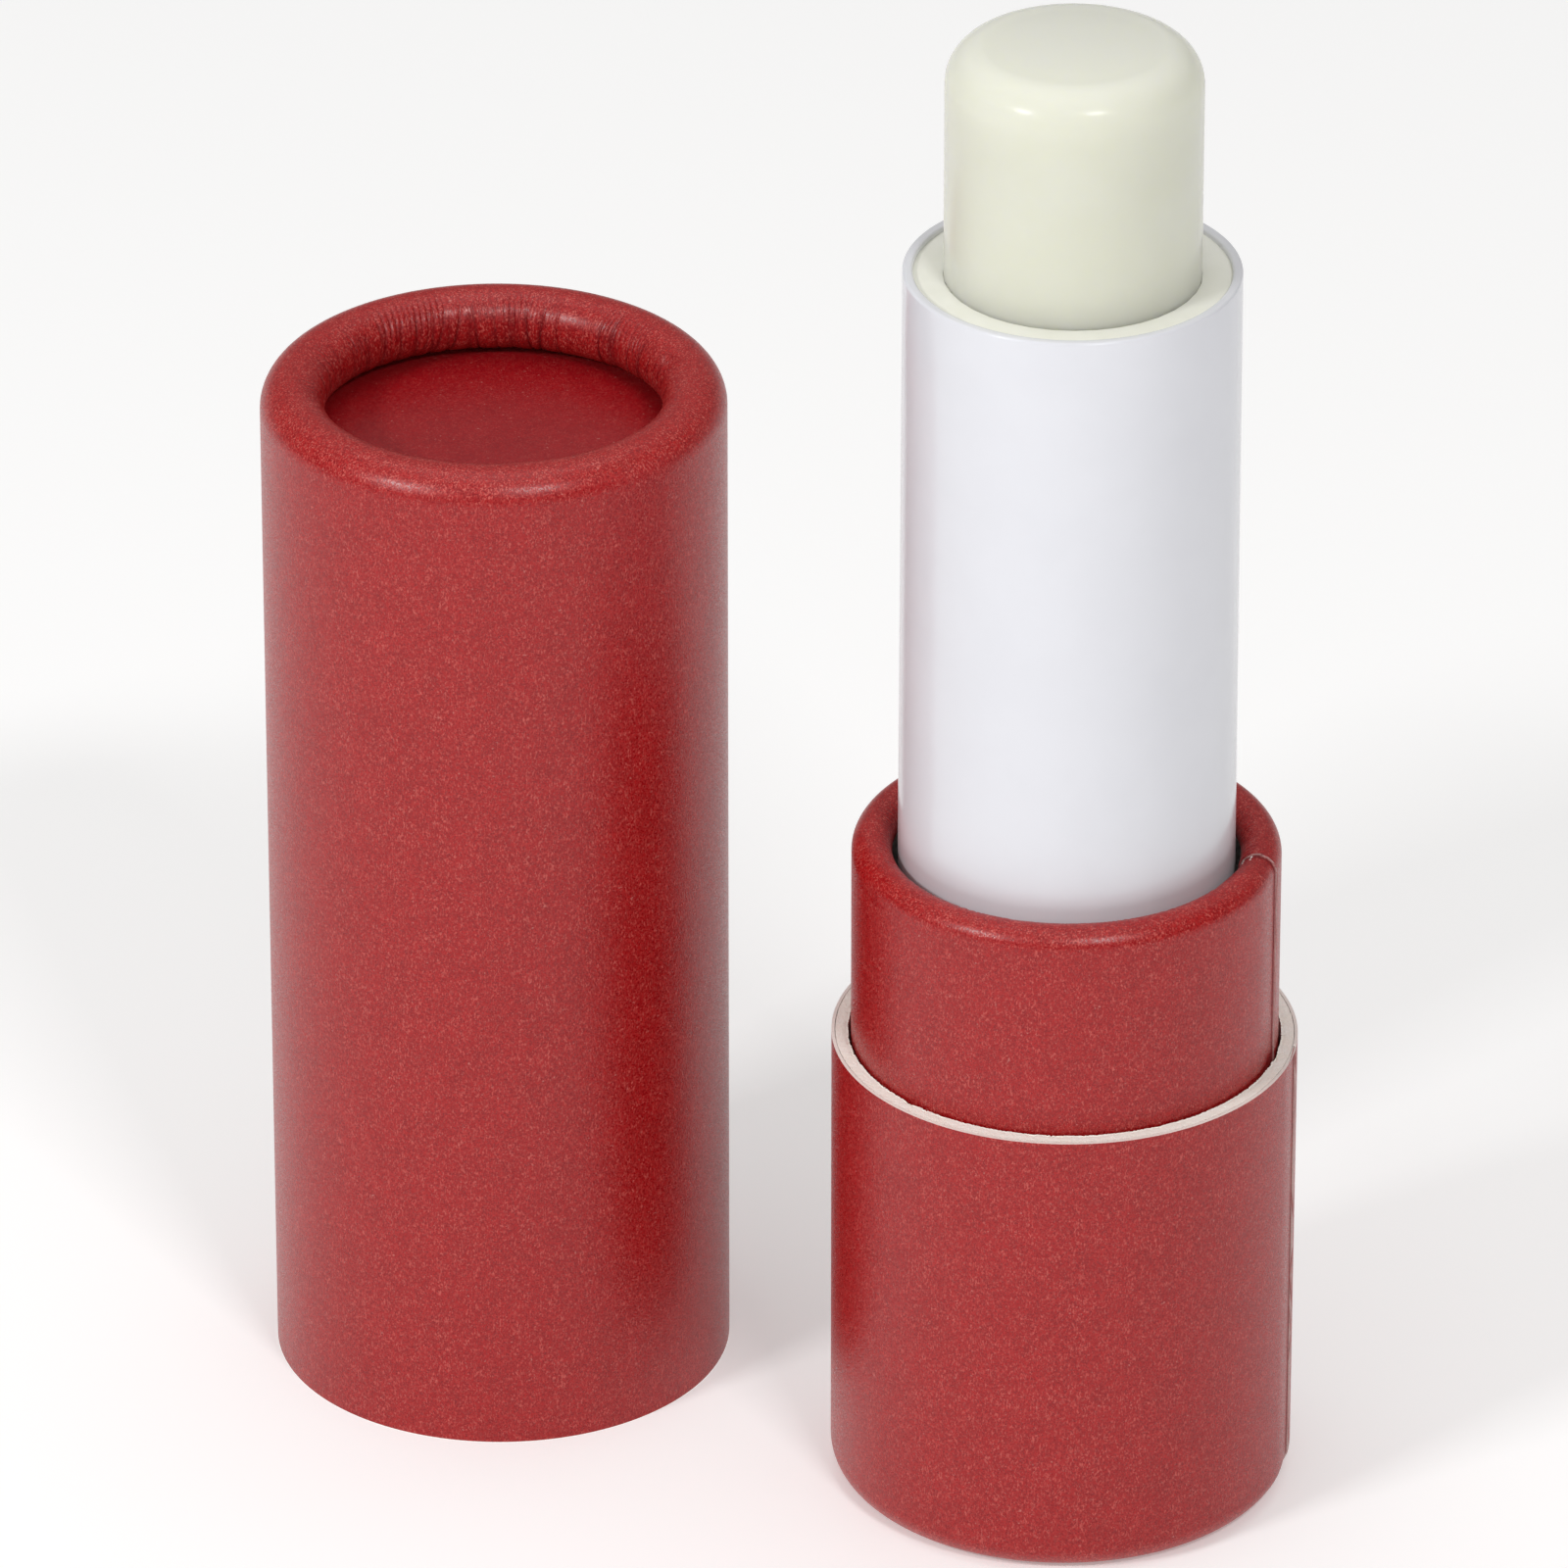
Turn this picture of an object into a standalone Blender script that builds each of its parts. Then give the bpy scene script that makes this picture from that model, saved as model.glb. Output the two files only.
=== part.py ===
"""A twist-up lip balm stick in a rolled paper case, with its cap standing beside it.

Lengths are in metres and +Z is up. The stick and the cap stand on the floor at z = 0.
The twist-up mechanism is sized from the balm outwards, and the paper case from the mechanism outwards.
"""

import math

import bmesh
import bpy

# Places of the two standing pieces on the floor, either side of the origin
STAND_X = 0.0132
STAND_Y = 0.00595

# Balm
BALM_RADIUS = 0.00574
BALM_SHOWN = 0.0114
BALM_TIP_DOWN = 0.001
BALM_SHOULDER = 0.0019
BALM_CROWN = 0.0003
HOLE_GAP = 0.0003
HOLE_END_GAP = 0.0005
CAST_GAP = 0.00005

# Twist-up tube: a guide tube inside a white shell
BORE_GAP = 0.00012
GUIDE_WALL = 0.00137
GUIDE_RECESS = 0.00025
SHELL_FIT = 0.00005
SHELL_WALL = 0.0004
SHELL_WIDENING = 0.00015
SHELL_SHOWN = 0.02885
RIM_ROUND = 0.00014
SNAP_LEDGE_REACH = 0.00035
SNAP_LEDGE_HEIGHT = 0.001
SNAP_OVERHANG = 0.0002
KEY_COUNT = 4
KEY_REACH = 0.00055
KEY_WIDTH = 0.0014
KEY_HEIGHT = 0.005
KEY_GAP = 0.00015
GROOVE_CLOSED = 0.0025

# Elevator cup
CUP_WALL = 0.0007
CUP_FLOOR = 0.0012
CUP_HEIGHT = 0.006
BOSS_WALL = 0.0007
BOSS_HEIGHT = 0.0046

# Drive screw: wheel, snap spigot and threaded spindle in one moulding
SPINDLE_CORE = 0.0015
SPINDLE_CHAMFER = 0.0003
SPINDLE_BELOW_RIM = 0.004
THREAD_CREST = 0.0023
THREAD_LEAD = 0.004
THREAD_ROOT_WIDTH = 0.0015
THREAD_CREST_WIDTH = 0.0008
THREAD_GAP = 0.0002
WHEEL_REACH = 0.00025
WHEEL_HEIGHT = 0.008
WHEEL_SKIRT = 0.0011
WHEEL_PLATE = 0.0012
SPIGOT_WALL = 0.0009
BEAD_HEIGHT = 0.001
BEAD_LEAD_IN = 0.0004

# Paper and board
WRAP = 0.00015
CASE_BOARD = 0.00063
NECK_BOARD = 0.00055
DISC_BOARD = 0.0009
GLUE_LINE = 0.00002
CURL = 0.00136
NECK_CURL = 0.00094
ROLL_END = math.radians(245)
DISC_BELOW_ROLL = 0.00018
BASE_HEIGHT = 0.02295
NECK_SHOWN = 0.01035
CAP_HEIGHT = 0.0508
LINER_BELOW_RIM = 0.0115

# Clearances
RUN_GAP = 0.00015
SEAT_GAP = 0.0001
STOP_GAP = 0.0003
NECK_OPENING_GAP = 0.00019
SLIDE_GAP = 0.0001
WHEEL_FIT = 0.00005
OVERRUN = 0.0003

# Fineness
ROUND_STEPS = 36
CURL_STEPS = 7
NECK_CURL_STEPS = 5
TUCK_STEPS = 2
HIDDEN_CURL_STEPS = 3
HIDDEN_TUCK_STEPS = 1
SHOULDER_STEPS = 5
THREAD_STEPS = 16
MERGE_DISTANCE = 0.000001
SHARP_ANGLE = math.radians(35)
FULL_TURN = 2 * math.pi

# Radii, from the balm outwards
bore_radius = BALM_RADIUS + BORE_GAP
guide_radius = bore_radius + GUIDE_WALL
shell_bore = guide_radius + SHELL_FIT
shell_radius = shell_bore + SHELL_WALL
shell_foot_radius = shell_radius + SHELL_WIDENING
neck_radius = shell_foot_radius + NECK_OPENING_GAP + 2 * NECK_CURL
case_bore = neck_radius + SLIDE_GAP
case_radius = case_bore + CASE_BOARD + GLUE_LINE + WRAP
wheel_radius = shell_foot_radius + WHEEL_REACH
liner_bore = wheel_radius + WHEEL_FIT
liner_radius = neck_radius - WRAP - GLUE_LINE - NECK_BOARD - GLUE_LINE
ledge_radius = bore_radius - SNAP_LEDGE_REACH
bead_radius = ledge_radius + SNAP_OVERHANG
spigot_radius = ledge_radius - RUN_GAP
boss_radius = THREAD_CREST + THREAD_GAP + BOSS_WALL
balm_hole = THREAD_CREST + HOLE_GAP
key_radius = BALM_RADIUS + KEY_REACH

# Heights, from the floor up
disc_stack = WRAP + GLUE_LINE + DISC_BOARD
recess = 2 * CURL + DISC_BELOW_ROLL
base_floor = recess + disc_stack + SEAT_GAP
neck_top = BASE_HEIGHT + NECK_SHOWN
rim = neck_top + SHELL_SHOWN
liner_top = neck_top - LINER_BELOW_RIM
wheel_top = base_floor + WHEEL_HEIGHT
tube_foot = wheel_top + RUN_GAP
bead_foot = tube_foot + SNAP_LEDGE_HEIGHT + RUN_GAP
spigot_top = bead_foot + BEAD_HEIGHT + BEAD_LEAD_IN
guide_top = rim - GUIDE_RECESS
groove_top = guide_top - GROOVE_CLOSED
spindle_top = rim - SPINDLE_BELOW_RIM
elevator_low = spigot_top + STOP_GAP
elevator_raised = BALM_TIP_DOWN + BALM_SHOWN
elevator_foot = elevator_low + elevator_raised
cup_top = elevator_foot + CUP_HEIGHT
balm_top = rim + BALM_SHOWN
balm_foot = elevator_foot + CUP_FLOOR + CAST_GAP


def clear_scene():
    for old in list(bpy.data.objects):
        bpy.data.objects.remove(old)


def new_collection(name):
    made = bpy.data.collections.new(name)
    bpy.context.scene.collection.children.link(made)
    return made


def principled(name, colour, roughness, subsurface=0.0):
    material = bpy.data.materials.new(name)
    material.use_nodes = True
    shader = material.node_tree.nodes["Principled BSDF"]
    shader.inputs["Base Color"].default_value = (*colour, 1.0)
    shader.inputs["Roughness"].default_value = roughness
    shader.inputs["Metallic"].default_value = 0.0
    shader.inputs["Subsurface Weight"].default_value = subsurface
    return material


def red_paper(name):
    return principled(name, (0.38, 0.025, 0.032), 0.5)


def grey_board(name):
    return principled(name, (0.78, 0.74, 0.66), 0.85)


def white_plastic(name):
    return principled(name, (0.80, 0.81, 0.84), 0.25)


def natural_plastic(name):
    return principled(name, (0.78, 0.77, 0.68), 0.4)


def balm_wax(name):
    return principled(name, (0.74, 0.75, 0.62), 0.35, subsurface=0.3)


def axis_empty(name, x, y):
    """The vertical axis that a group of pieces stands, turns or slides on."""
    empty = bpy.data.objects.new(name, None)
    empty.location = (x, y, 0.0)
    parts.objects.link(empty)
    return empty


def new_object(name, mesh, collection, axis):
    made = bpy.data.objects.new(name, mesh)
    made.parent = axis
    collection.objects.link(made)
    return made


def swept(name, profile, closed, collection, axis, steps=ROUND_STEPS, turns=1, rise=0.0):
    """Screws a profile of (radius, height) points round the vertical axis and keeps the result."""
    mesh = bpy.data.meshes.new(name)
    points = [(radius, 0.0, height) for radius, height in profile]
    edges = [(i, i + 1) for i in range(len(points) - 1)]
    if closed:
        edges.append((len(points) - 1, 0))
    mesh.from_pydata(points, edges, [])
    made = new_object(name, mesh, collection, axis)
    screw = made.modifiers.new("screw", "SCREW")
    screw.axis = "Z"
    screw.angle = turns * FULL_TURN
    screw.screw_offset = rise
    screw.steps = steps
    screw.render_steps = steps
    screw.use_merge_vertices = not closed
    screw.merge_threshold = MERGE_DISTANCE
    graph = bpy.context.evaluated_depsgraph_get()
    made.data = bpy.data.meshes.new_from_object(made.evaluated_get(graph))
    made.data.name = name
    made.modifiers.clear()
    made.data.shade_smooth()
    made.data.set_sharp_from_angle(angle=SHARP_ANGLE)
    return made


def turned(name, profile, axis, material, closed=True):
    """A turned piece: its profile at +X runs down its outer side."""
    made = swept(name, profile, closed, parts, axis)
    made.data.materials.append(material(name))
    return made


def as_cutter(cutter):
    cutter.hide_render = True
    cutter.display_type = "WIRE"
    return cutter


def combine(target, cutter, operation):
    change = target.modifiers.new(cutter.name, "BOOLEAN")
    change.operation = operation
    change.solver = "EXACT"
    change.object = cutter


def arc(radius, centre_r, centre_z, start, end, steps):
    """Points of an arc about (centre_r, centre_z), with angles measured from outwards to upwards."""
    angles = [start + (end - start) * i / steps for i in range(steps + 1)]
    return [(centre_r + radius * math.cos(a), centre_z + radius * math.sin(a)) for a in angles]


def rolled_profile(outside, curl, inset, wall, length, steps, hidden_steps, hidden_tuck_steps):
    """One layer of a tube with its cut end at 0 and its upper end, at length, rolled inwards and under.

    outside and curl are the radii of the rolled tube and of its roll, and inset is how deep
    under that surface this layer starts. The roll has a narrow flat on top.
    """
    roll_r = outside - curl
    roll_z = length - curl * math.cos(math.pi / steps / 2)
    outer = curl - inset
    inner = outer - wall
    points = arc(outer, roll_r, roll_z, ROLL_END, math.pi, TUCK_STEPS)
    points += arc(outer, roll_r, roll_z, math.pi, 0.0, steps)[1:]
    points += [(roll_r + outer, 0.0), (roll_r + inner, 0.0)]
    points += arc(inner, roll_r, roll_z, 0.0, math.pi, hidden_steps)
    points += arc(inner, roll_r, roll_z, math.pi, ROLL_END, hidden_tuck_steps)[1:]
    return points


def raised(profile, height):
    return [(radius, z + height) for radius, z in profile]


def upside_down(profile, height):
    """The same closed profile stood on its head, with its rim at 0 and its cut end at height."""
    return [(radius, height - z) for radius, z in reversed(profile)]


def ring_profile(bore, outside, low, high):
    return [(outside, high), (outside, low), (bore, low), (bore, high)]


def disc_profile(radius, low, high):
    return [(0.0, high), (radius, high), (radius, low), (0.0, low)]


def case_layers(length):
    """Profiles of the wrap and of the board of a case tube, with the rolled rim at the top."""
    under_wrap = WRAP + GLUE_LINE
    wrap = rolled_profile(case_radius, CURL, 0.0, WRAP, length, CURL_STEPS, CURL_STEPS, TUCK_STEPS)
    board = rolled_profile(
        case_radius, CURL, under_wrap, CASE_BOARD, length, CURL_STEPS, HIDDEN_CURL_STEPS,
        HIDDEN_TUCK_STEPS
    )
    return wrap, board


def disc_pair(prefix, facing_z, board_side, axis):
    """The board disc in a rolled rim and the red paper on its outer face; board_side is 1 for above."""
    radius = case_bore - SEAT_GAP
    paper_end = facing_z + board_side * WRAP
    board_start = paper_end + board_side * GLUE_LINE
    board_end = board_start + board_side * DISC_BOARD
    paper_low, paper_high = sorted((facing_z, paper_end))
    board_low, board_high = sorted((board_start, board_end))
    facing = disc_profile(radius, paper_low, paper_high)
    board = disc_profile(radius, board_low, board_high)
    turned(prefix + "_disc_facing", facing, axis, red_paper, closed=False)
    turned(prefix + "_disc", board, axis, grey_board, closed=False)


def cap(axis):
    wrap, board = case_layers(CAP_HEIGHT)
    turned("cap_wrap", wrap, axis, red_paper)
    turned("cap_tube", board, axis, grey_board)
    disc_pair("cap", CAP_HEIGHT - recess, -1, axis)


def base(axis):
    wrap, board = case_layers(BASE_HEIGHT)
    turned("base_wrap", upside_down(wrap, BASE_HEIGHT), axis, red_paper)
    turned("base_tube", upside_down(board, BASE_HEIGHT), axis, grey_board)
    disc_pair("base", recess, 1, axis)


def neck(axis):
    length = neck_top - base_floor
    under_wrap = WRAP + GLUE_LINE
    wrap = rolled_profile(
        neck_radius, NECK_CURL, 0.0, WRAP, length, NECK_CURL_STEPS, NECK_CURL_STEPS, TUCK_STEPS
    )
    board = rolled_profile(
        neck_radius, NECK_CURL, under_wrap, NECK_BOARD, length, NECK_CURL_STEPS, HIDDEN_CURL_STEPS,
        HIDDEN_TUCK_STEPS
    )
    turned("neck_wrap", raised(wrap, base_floor), axis, red_paper)
    turned("neck_tube", raised(board, base_floor), axis, grey_board)


def liner(axis):
    profile = ring_profile(liner_bore, liner_radius, base_floor, liner_top)
    turned("liner_tube", profile, axis, grey_board)


def thread(name, gap, low, high, axis):
    """A threaded rod that passes low and high, which a gap makes thicker all round.

    One turn's profile is screwed upwards, and each open end is closed round a pole on the axis.
    Turns start at whole leads above the floor, so a spindle and its nut are always in mesh.
    """
    core = SPINDLE_CORE + gap
    crest = THREAD_CREST + gap
    half_root = THREAD_ROOT_WIDTH / 2 + gap
    half_crest = THREAD_CREST_WIDTH / 2 + gap
    first = math.floor(low / THREAD_LEAD) - 1
    turns = math.ceil(high / THREAD_LEAD) + 1 - first
    foot = first * THREAD_LEAD
    middle = foot + THREAD_LEAD / 2
    profile = [
        (core, foot + THREAD_LEAD),
        (core, middle + half_root),
        (crest, middle + half_crest),
        (crest, middle - half_crest),
        (core, middle - half_root),
        (core, foot),
    ]
    rise = turns * THREAD_LEAD
    made = swept(name, profile, False, cutters, axis, turns * THREAD_STEPS, turns, rise)
    mesh = bmesh.new()
    mesh.from_mesh(made.data)
    bmesh.ops.remove_doubles(mesh, verts=mesh.verts, dist=MERGE_DISTANCE)
    open_edges = [edge for edge in mesh.edges if edge.is_boundary]
    poles = [mesh.verts.new((0.0, 0.0, middle)), mesh.verts.new((0.0, 0.0, middle + rise))]
    for edge in open_edges:
        start, end = edge.verts
        upper = start.co.z + end.co.z > 2 * middle + rise
        mesh.faces.new((start, end, poles[upper]))
    bmesh.ops.recalc_face_normals(mesh, faces=mesh.faces)
    mesh.to_mesh(made.data)
    mesh.free()
    return as_cutter(made)


def spindle(axis):
    """The threaded rod cut to length, with a chamfered tip and its root in the wheel's plate."""
    root = wheel_top - WHEEL_PLATE / 2
    outside = THREAD_CREST + OVERRUN
    tip = SPINDLE_CORE - SPINDLE_CHAMFER
    profile = [
        (0.0, spindle_top),
        (tip, spindle_top),
        (outside, spindle_top - (outside - tip)),
        (outside, root),
        (0.0, root),
    ]
    blank = as_cutter(swept("spindle_blank", profile, False, cutters, axis))
    rod = thread("spindle_thread", 0.0, root, spindle_top, axis)
    combine(rod, blank, "INTERSECT")
    return rod


def drive_screw(axis):
    """The wheel that is glued into the base, its snap spigot and the threaded spindle."""
    profile = [
        (0.0, wheel_top),
        (spigot_radius - SPIGOT_WALL, wheel_top),
        (spigot_radius - SPIGOT_WALL, spigot_top),
        (spigot_radius, spigot_top),
        (bead_radius, bead_foot + BEAD_HEIGHT),
        (bead_radius, bead_foot),
        (spigot_radius, bead_foot),
        (spigot_radius, wheel_top),
        (wheel_radius, wheel_top),
        (wheel_radius, base_floor),
        (wheel_radius - WHEEL_SKIRT, base_floor),
        (wheel_radius - WHEEL_SKIRT, wheel_top - WHEEL_PLATE),
        (0.0, wheel_top - WHEEL_PLATE),
    ]
    made = turned("drive_screw", profile, axis, natural_plastic, closed=False)
    combine(made, spindle(axis), "UNION")


def outer_shell(axis):
    """The white tube, slightly wider at its foot, with a rounded rim."""
    foot_bore = shell_bore + SHELL_WIDENING
    profile = [
        (shell_radius - RIM_ROUND, rim),
        (shell_radius, rim - RIM_ROUND),
        (shell_foot_radius, tube_foot),
        (foot_bore, tube_foot),
        (shell_bore, rim - RIM_ROUND),
        (shell_bore + RIM_ROUND, rim),
    ]
    turned("outer_shell", profile, axis, white_plastic)


def key_blocks(name, inside, outside, width, low, high, axis):
    """Blocks that stand round the axis, for the elevator's keys or for the grooves they run in."""
    mesh = bmesh.new()
    for i in range(KEY_COUNT):
        corners = bmesh.ops.create_cube(mesh, size=1.0)["verts"]
        turn = FULL_TURN * i / KEY_COUNT
        for corner in corners:
            across = corner.co.y * width
            along = inside if corner.co.x < 0.0 else outside
            height = low if corner.co.z < 0.0 else high
            corner.co.x = along * math.cos(turn) - across * math.sin(turn)
            corner.co.y = along * math.sin(turn) + across * math.cos(turn)
            corner.co.z = height
    data = bpy.data.meshes.new(name)
    mesh.to_mesh(data)
    mesh.free()
    return as_cutter(new_object(name, data, cutters, axis))


def guide_tube(axis):
    """The tube that the balm rises in, with a snap ledge at its foot and grooves for the keys."""
    ledge_top = tube_foot + SNAP_LEDGE_HEIGHT
    profile = [
        (guide_radius, guide_top),
        (guide_radius + SHELL_WIDENING, tube_foot),
        (bore_radius, tube_foot),
        (ledge_radius, tube_foot + SNAP_LEDGE_REACH),
        (ledge_radius, ledge_top),
        (bore_radius, ledge_top),
        (bore_radius, guide_top),
    ]
    made = turned("guide_tube", profile, axis, natural_plastic)
    grooves = key_blocks(
        "key_grooves", ledge_radius - OVERRUN, key_radius + KEY_GAP, KEY_WIDTH + 2 * KEY_GAP,
        tube_foot - OVERRUN, groove_top, axis
    )
    combine(made, grooves, "DIFFERENCE")


def elevator(axis):
    """The cup that carries the balm, with a nut on the spindle and keys in the guide tube."""
    boss_top = elevator_foot + BOSS_HEIGHT
    floor_top = elevator_foot + CUP_FLOOR
    profile = [
        (0.0, boss_top),
        (boss_radius, boss_top),
        (boss_radius, floor_top),
        (BALM_RADIUS - CUP_WALL, floor_top),
        (BALM_RADIUS - CUP_WALL, cup_top),
        (BALM_RADIUS, cup_top),
        (BALM_RADIUS, elevator_foot),
        (0.0, elevator_foot),
    ]
    made = turned("elevator", profile, axis, natural_plastic, closed=False)
    keys = key_blocks(
        "elevator_keys", BALM_RADIUS - OVERRUN, key_radius, KEY_WIDTH,
        elevator_foot, elevator_foot + KEY_HEIGHT, axis
    )
    combine(made, keys, "UNION")
    combine(made, thread("nut_thread", THREAD_GAP, elevator_foot, boss_top, axis), "DIFFERENCE")


def balm_bullet(axis):
    """The balm, cast into the cup round the nut and the spindle, with a flat-topped dome."""
    shoulder = arc(
        BALM_SHOULDER, BALM_RADIUS - BALM_SHOULDER, balm_top - BALM_CROWN - BALM_SHOULDER,
        math.pi / 2, 0.0, SHOULDER_STEPS
    )
    in_cup = BALM_RADIUS - CUP_WALL - CAST_GAP
    over_boss = elevator_foot + BOSS_HEIGHT + CAST_GAP
    hole_top = spindle_top + HOLE_END_GAP + elevator_raised
    profile = [
        (0.0, balm_top),
        *shoulder,
        (BALM_RADIUS, cup_top + CAST_GAP),
        (in_cup, cup_top + CAST_GAP),
        (in_cup, balm_foot),
        (boss_radius + CAST_GAP, balm_foot),
        (boss_radius + CAST_GAP, over_boss),
        (balm_hole, over_boss),
        (balm_hole, hole_top),
        (0.0, hole_top),
    ]
    turned("balm_bullet", profile, axis, balm_wax, closed=False)


clear_scene()
parts = new_collection("lip_balm_stick")
cutters = new_collection("cutters")

cap_axis = axis_empty("cap_axis", -STAND_X, STAND_Y)
base_axis = axis_empty("base_axis", STAND_X, -STAND_Y)
tube_axis = axis_empty("tube_axis", STAND_X, -STAND_Y)
carrier_axis = axis_empty("carrier_axis", STAND_X, -STAND_Y)

cap(cap_axis)
base(base_axis)
neck(base_axis)
liner(base_axis)
drive_screw(base_axis)
outer_shell(tube_axis)
guide_tube(tube_axis)
elevator(carrier_axis)
balm_bullet(carrier_axis)
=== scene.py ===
"""The looks of the twist-up lip balm stick: rolled red paper, cut board, white plastic and balm.

Lengths are in metres. Every piece is turned round the axis of the CAD node that it stands for.
"""

import math

import bpy
import numpy as np
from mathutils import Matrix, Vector


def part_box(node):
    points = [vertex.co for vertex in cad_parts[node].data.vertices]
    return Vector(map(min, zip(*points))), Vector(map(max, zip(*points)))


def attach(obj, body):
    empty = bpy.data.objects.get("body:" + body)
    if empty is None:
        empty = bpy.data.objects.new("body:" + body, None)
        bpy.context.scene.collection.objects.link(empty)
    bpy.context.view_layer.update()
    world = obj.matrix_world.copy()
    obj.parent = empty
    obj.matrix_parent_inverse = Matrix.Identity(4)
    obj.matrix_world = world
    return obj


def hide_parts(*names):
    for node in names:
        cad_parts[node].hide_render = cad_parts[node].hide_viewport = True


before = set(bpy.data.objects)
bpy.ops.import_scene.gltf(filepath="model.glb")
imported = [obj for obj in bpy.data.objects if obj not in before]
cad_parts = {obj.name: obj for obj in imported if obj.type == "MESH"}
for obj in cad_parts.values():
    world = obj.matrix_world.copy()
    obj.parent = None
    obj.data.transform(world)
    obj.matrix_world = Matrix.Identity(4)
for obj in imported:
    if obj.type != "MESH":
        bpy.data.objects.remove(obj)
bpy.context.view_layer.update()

# Camera
TARGET_HEIGHT = 0.032
CAMERA_DISTANCE = 0.65
CAMERA_PITCH = math.radians(28.198)
CAMERA_RIGHT = 0.000205
CAMERA_UP = 0.000545
LENS_MM = 321.7
SENSOR_MM = 36.0
CLIP_START = 0.01
CLIP_END = 20.0

# Paper and board, as in the solids, but with a fuller roll on the cap and its disc a little lower
WRAP = 0.00015
GLUE_LINE = 0.00002
CASE_BOARD = 0.00063
CURL = 0.00136
CAP_CURL = 0.0015
CAP_DISC_DROP = 0.0003
NECK_CURL = 0.00094
ROLL_END = math.radians(245)
DYED_EDGE = 0.00002

# Tube and balm, as in the solids, but with the balm a little fuller
GUIDE_SIDES = 36
SHELL_WALL = 0.0004
SHELL_WIDENING = 0.00015
RIM_ROUND = 0.00014
BALM_SHOULDER = 0.0019
BALM_CROWN = 0.0003
BALM_SWELL = 0.00009
CUP_WALL = 0.0007
CAST_GAP = 0.00005
CUP_DEPTH = 0.0048
BOSS_RADIUS = 0.0032
BOSS_HEIGHT = 0.0046
CUP_FLOOR = 0.0012
BALM_HOLE = 0.0026
BALM_ABOVE_HOLE = 0.0026

# Pleats and creases pressed into the rolled paper, deepest on the inside of the roll
FOLD_DEPTH = 0.00011
FOLD_START = math.radians(92)
FOLD_FULL = math.radians(134)
BURNISH_START = 0.00025
PLEAT_COUNT = 204
PLEAT_DEPTH = 0.00006
PLEAT_LEAN = 90.0
PLEAT_SHARPNESS = 0.8
PLEAT_FADE = (0.0017, 0.0026)
PLEAT_FADE_SHARE = 0.6
PLEAT_MIDDLE_SHARE = 0.6
PLEAT_SWELL_SHARE = 0.28
PLEAT_LEAST_SHARE = 0.15
LUMP_COUNT = 46
LUMP_DEPTH = 0.00006
LUMP_START = (0.0011, 0.0021)
CREASE_COUNT = 15
CREASE_WIDTH = 0.00007
CREASE_WIDTH_SHARES = (0.7, 1.5)
CREASE_DEPTH_SHARES = (0.45, 1.0)
CREASE_LEAN = 14.0
CREASE_START = (0.0007, 0.0019)
SEAM_CREASE = 0.9

# Random waves that set the pleats out unevenly: how many, their turns a circle, and their shares
BEATS = (7, (3, 24), (0.2, 0.55))
SWELLS = (6, (4, 27))
LEANS = (4, (2, 9))
DRIFTS = (4, (3, 14), (0.2, 0.5))

# The cap's plainest creases, and the patches where its roll is smooth, as middle and reach in degrees
CAP_CREASES = (109.0, 100.3, 92.0, 81.0, 73.0, 47.6, 128.0, 141.0, 30.0)
CAP_SMOOTH_PATCHES = ((61.5, 8.0), (152.0, 6.0))
PATCH_CORE_SHARE = 0.8
PATCH_LEAST_SHARE = 0.06

# Seams where the wrapping paper laps over itself, by their angle in degrees
NECK_SEAM = -13.3
BASE_SEAM = -8.3
CAP_SEAM = 47.6
LAP_STEP = 0.00012
LAP_REACH = 0.0025
LAP_GROOVE = 0.00004
SEAM_EDGE = 0.00003
SEAM_PALE = 0.000012
# A painted shadow line, this wide, darkens the paper at the foot of each seam's step.
SEAM_SHADOW_WIDTH = 0.0001
SEAM_SHADE = 1.0
SEAM_JAG = 0.000014
SEAM_JAG_PITCHES = (2600, 7100, 15300)
SEAM_ZONE = 0.05
SEAM_ZONE_SHARE = 1.02
SEAM_COLUMNS = 56

# The roughness of the cut board; waves are given by their fewest and most turns and their number
CUT_ZONE = 0.0006
BORE_ZONE = 0.0001
LAYER_DEPTH = 0.000016
LAYER_WAVES = (60, 330, 12)
FRAY_DEPTH = 0.00004
FRAY_WAVES = (40, 300, 14)
TEAR_DEPTH = 0.00005
TEAR_WAVES = (5, 40, 6)
TEAR_START = 0.4

# The slight waviness of the paper discs
DISC_WAVE_DEPTH = 0.00001
DISC_WAVE_COUNT = 3
DISC_WAVE_PHASE = 1.0

# Seeds of the random waves
CAP_SEED = 3
BASE_SEED = 5
NECK_SEED = 7
CAP_BOARD_SEED = 11
BASE_BOARD_SEED = 13

# Red paper: a lower and a higher tone of each face, and the tones of its marks
CRIMSON = ((0.29, 0.0012, 0.0025), (0.34, 0.0016, 0.0035))
# The discs' tones are darker than the wall's as painted shade for the recess that the cap's disc sits
# in; the base's disc takes the same paper.
DISC_SHADED_CRIMSON = ((0.25, 0.001, 0.005), (0.28, 0.0015, 0.006))
PALE_RED = (0.42, 0.009, 0.009)
DARK_RED = (0.24, 0.0005, 0.004)
FLECK_RED = (0.56, 0.098, 0.08)
SPECK_PINK = (0.66, 0.30, 0.26)
# The crease tone is painted shade: pleat valleys and the foot of each seam's step are darkened towards
# it.
CREASE_SHADE_RED = (0.10, 0.002, 0.006)
CUT_PAPER = (0.90, 0.84, 0.79)

# Red paper: noises, as cells a metre, detail and roughness
CLOUD_NOISE = (650, 3.0, 0.6)
PATCH_NOISE = (2300, 3.0, 0.6)
GRAIN_NOISE = (5200, 2.0, 0.55)
SPECK_NOISE = (5600, 1.0, 0.5)
FINE_NOISE = (11500, 1.0, 0.5)
FIBRE_NOISE = (13000, 2.0, 0.6)
FIBRE_SHARE_ALONG = 0.5
FIBRE_TWIST = 0.3

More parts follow.
